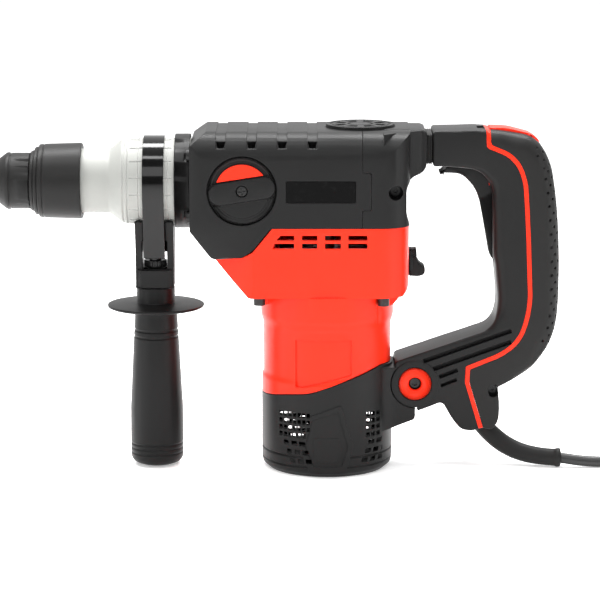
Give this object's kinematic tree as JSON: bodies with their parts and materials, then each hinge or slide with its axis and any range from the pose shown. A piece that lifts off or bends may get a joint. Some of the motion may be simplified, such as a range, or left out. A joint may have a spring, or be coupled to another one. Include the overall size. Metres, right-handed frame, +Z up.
{
  "type": "rotary hammer",
  "caption": "Corded rotary hammer with vertical motor, barrel and chuck, clamped side handle, mode selector and damped rear D-handle with trigger.",
  "frame": {"origin": "motor axis on the flat base of the motor end cap", "axes": "+Z up along the motor axis, -X towards the chuck along the tool axis, +Y to the tool's right side"},
  "size_m": [0.5493, 0.1449, 0.242],
  "materials": {
    "black_plastic": "fine matt mould texture",
    "red_plastic": "satin",
    "rubber": "soft matt",
    "cast_grey": "sand cast, painted light grey",
    "steel": "ground",
    "black_steel": "gloss black",
    "gloss_black": "gloss",
    "copper": "wound and varnished"
  },
  "bodies": {
    "housing": {"barrel_housing": "cast_grey", "front_collar": "black_plastic", "barrel_screw_1": "steel", "barrel_screw_2": "steel", "barrel_screw_3": "steel", "barrel_screw_4": "steel", "gear_cover": "black_plastic", "rear_housing": "black_plastic", "crank_cap": "black_plastic", "name_plate": "gloss_black", "motor_housing": "red_plastic", "motor_bolt_1": "steel", "motor_bolt_2": "steel", "motor_bolt_3": "steel", "motor_bolt_4": "steel", "end_cap": "black_plastic", "stator": "copper", "upper_bearing": "steel", "lower_bearing": "steel", "brush_1": "steel", "brush_2": "steel", "bellows": "rubber", "damping_spring": "steel"},
    "spindle": {"dust_cap": "rubber", "tool_holder": "steel", "chuck_spring": "steel", "cylinder": "steel", "bevel_ring": "steel"},
    "sleeve": {"lock_sleeve": "rubber"},
    "beat_piece": {"beat_piece": "steel"},
    "striker": {"striker": "steel"},
    "piston": {"piston": "steel", "con_rod": "steel"},
    "crank": {"crank_gear": "steel"},
    "bevel_shaft": {"bevel_shaft": "steel"},
    "armature": {"armature": "steel", "fan": "black_plastic"},
    "selector": {"selector_knob": "black_plastic", "selector_insert": "red_plastic", "selector_screw": "steel"},
    "rear_knob": {"rear_knob": "black_plastic"},
    "side_handle": {"clamp_band": "black_steel", "clamp_bracket": "black_steel", "clamp_bolt": "steel"},
    "side_grip": {"side_grip": "rubber"},
    "rear_handle": {"handle_left": "black_plastic", "handle_right": "black_plastic", "rear_grip": "rubber", "handle_trim_left": "red_plastic", "handle_trim_right": "red_plastic", "switch": "black_plastic", "pivot_pin": "steel", "pivot_ring_left": "red_plastic", "pivot_ring_right": "red_plastic", "cord_guard": "rubber", "cord": "rubber", "cord_coil": "rubber", "plug": "rubber"},
    "trigger": {"trigger": "rubber"}
  },
  "joints": [
    {"name": "armature_spin", "type": "hinge", "parent": "housing", "child": "armature", "pos_m": [0, 0, 0.1], "axis": [0, 0, 1], "continuous": true},
    {"name": "crank_spin", "type": "hinge", "parent": "housing", "child": "crank", "pos_m": [0.0228, 0, 0.18], "axis": [0, 0, 1], "continuous": true},
    {"name": "bevel_shaft_spin", "type": "hinge", "parent": "housing", "child": "bevel_shaft", "pos_m": [-0.0241, 0, 0.18], "axis": [0, 0, 1], "continuous": true},
    {"name": "spindle_spin", "type": "hinge", "parent": "housing", "child": "spindle", "pos_m": [-0.1, 0, 0.202], "axis": [1, 0, 0], "continuous": true},
    {"name": "sleeve_slide", "type": "slide", "parent": "spindle", "child": "sleeve", "axis": [1, 0, 0], "range_m": [0, 0.0075], "stiffness_N_per_m": 900, "springref_m": -0.008, "deforming": ["chuck_spring"]},
    {"name": "beat_piece_slide", "type": "slide", "parent": "housing", "child": "beat_piece", "axis": [1, 0, 0], "range_m": [-0.0035, 0.004]},
    {"name": "striker_slide", "type": "slide", "parent": "housing", "child": "striker", "axis": [1, 0, 0], "range_m": [-0.007, 0.01]},
    {"name": "piston_slide", "type": "slide", "parent": "housing", "child": "piston", "axis": [1, 0, 0], "range_m": [0, 0.022]},
    {"name": "selector_turn", "type": "hinge", "parent": "housing", "child": "selector", "pos_m": [-0.0586, -0.0435, 0.201], "axis": [0, -1, 0], "range_deg": [-90, 90]},
    {"name": "rear_knob_turn", "type": "hinge", "parent": "housing", "child": "rear_knob", "pos_m": [0.06, 0, 0.1455], "axis": [1, 0, 0], "range_deg": [0, 90]},
    {"name": "side_handle_swing", "type": "hinge", "parent": "housing", "child": "side_handle", "pos_m": [-0.12, 0, 0.202], "axis": [1, 0, 0], "continuous": true},
    {"name": "side_grip_twist", "type": "hinge", "parent": "side_handle", "child": "side_grip", "pos_m": [-0.12, 0, 0.06], "axis": [0, 0, 1], "continuous": true},
    {"name": "handle_damping", "type": "hinge", "parent": "housing", "child": "rear_handle", "pos_m": [0.0613, 0, 0.0615], "axis": [0, -1, 0], "range_deg": [0, 1], "stiffness_Nm_per_rad": 1500, "springref_deg": -1.15, "deforming": ["bellows", "damping_spring"]},
    {"name": "trigger_pull", "type": "hinge", "parent": "rear_handle", "child": "trigger", "pos_m": [0.1165, 0, 0.148], "axis": [0, 1, 0], "range_deg": [0, 5.5], "stiffness_Nm_per_rad": 4, "springref_deg": -8.59}
  ],
  "couplings": [
    {"joint": "crank_spin", "follows": "armature_spin", "ratio": -0.25},
    {"joint": "bevel_shaft_spin", "follows": "armature_spin", "ratio": -0.23333},
    {"joint": "spindle_spin", "follows": "armature_spin", "ratio": 0.077778}
  ]
}
